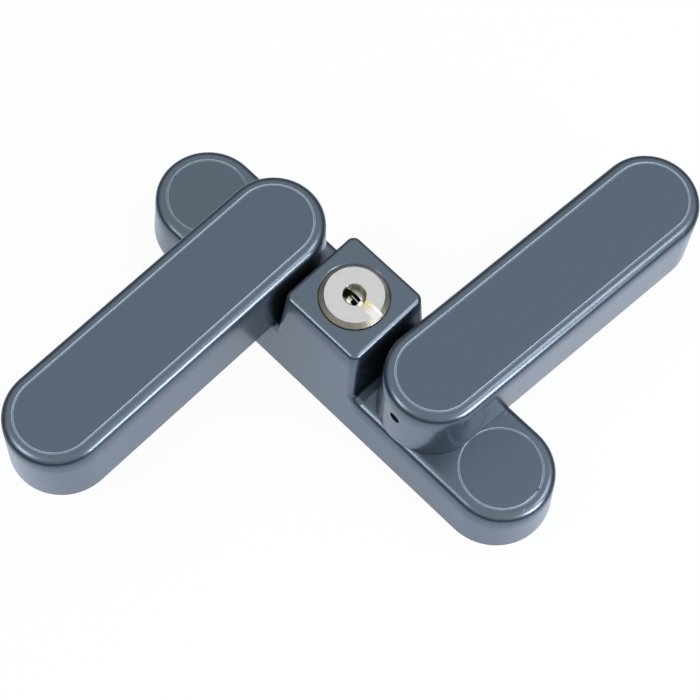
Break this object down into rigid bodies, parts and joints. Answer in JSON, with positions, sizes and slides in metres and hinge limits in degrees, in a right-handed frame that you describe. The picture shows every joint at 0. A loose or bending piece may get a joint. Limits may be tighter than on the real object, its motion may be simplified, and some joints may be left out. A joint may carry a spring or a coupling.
{
  "type": "double swivel arm lock bolt",
  "caption": "Key-locked bolt with two drafted swivel arms on a slim base plate housing, which swing out to hold a pair of window or door leaves shut.",
  "frame": {"origin": "middle of the base's mounting face", "axes": "+Z away from the mounting face, +X along the base, +Y the way the right arm points"},
  "size_m": [0.1494, 0.1906, 0.0426],
  "materials": {
    "casting_paint": "satin metallic paint on die-cast zinc",
    "inlay_paint": "fine matt metallic paint",
    "nickel_plated_brass": "satin nickel plate on brass",
    "plug_nickel": "polished nickel plate on brass",
    "bare_brass": "turned and punched brass",
    "zinc_plated_steel": "bright zinc plate",
    "hardened_steel": "sintered and hardened, lightly oiled",
    "spring_steel": "blued strip",
    "black_screw_steel": "black oxide",
    "glide_acetal": "moulded acetal"
  },
  "bodies": {
    "base": {"base_housing": "casting_paint", "base_plate": "zinc_plated_steel", "plate_screws": "zinc_plated_steel", "bearing_bridge": "zinc_plated_steel", "bridge_screws": "zinc_plated_steel", "end_cap_left": "inlay_paint", "end_cap_right": "inlay_paint", "cylinder_body": "nickel_plated_brass", "cylinder_nut": "bare_brass", "retaining_ring": "spring_steel"},
    "right_arm": {"arm_right": "casting_paint", "arm_cover_right": "inlay_paint", "pivot_post_right": "hardened_steel", "locking_disc_right": "hardened_steel", "pivot_screw_right": "zinc_plated_steel", "spring_washer_right": "spring_steel", "glide_ring_right": "glide_acetal", "grub_screw_right": "black_screw_steel"},
    "left_arm": {"arm_left": "casting_paint", "arm_cover_left": "inlay_paint", "pivot_post_left": "hardened_steel", "locking_disc_left": "hardened_steel", "pivot_screw_left": "zinc_plated_steel", "spring_washer_left": "spring_steel", "glide_ring_left": "glide_acetal", "grub_screw_left": "black_screw_steel"},
    "key_plug": {"plug": "plug_nickel", "tumbler_wafers": "bare_brass", "pinion": "hardened_steel"},
    "right_slide": {"locking_slide_right": "hardened_steel"},
    "left_slide": {"locking_slide_left": "hardened_steel"}
  },
  "joints": [
    {"name": "right_arm_swing", "type": "hinge", "parent": "base", "child": "right_arm", "pos_m": [0.0312, 0, 0], "axis": [0, 0, 1], "range_deg": [-176, 4]},
    {"name": "left_arm_swing", "type": "hinge", "parent": "base", "child": "left_arm", "pos_m": [-0.0312, 0, 0], "axis": [0, 0, 1], "range_deg": [-180, 0]},
    {"name": "key_turn", "type": "hinge", "parent": "base", "child": "key_plug", "pos_m": [0, 0, 0], "axis": [0, 0, 1], "range_deg": [0, 90]},
    {"name": "right_bolt", "type": "slide", "parent": "base", "child": "right_slide", "axis": [1, 0, 0], "range_m": [0, 0.0079]},
    {"name": "left_bolt", "type": "slide", "parent": "base", "child": "left_slide", "axis": [-1, 0, 0], "range_m": [0, 0.0079]}
  ],
  "couplings": [
    {"joint": "right_bolt", "follows": "key_turn", "m_per_rad": 0.005},
    {"joint": "left_bolt", "follows": "key_turn", "m_per_rad": 0.005}
  ]
}
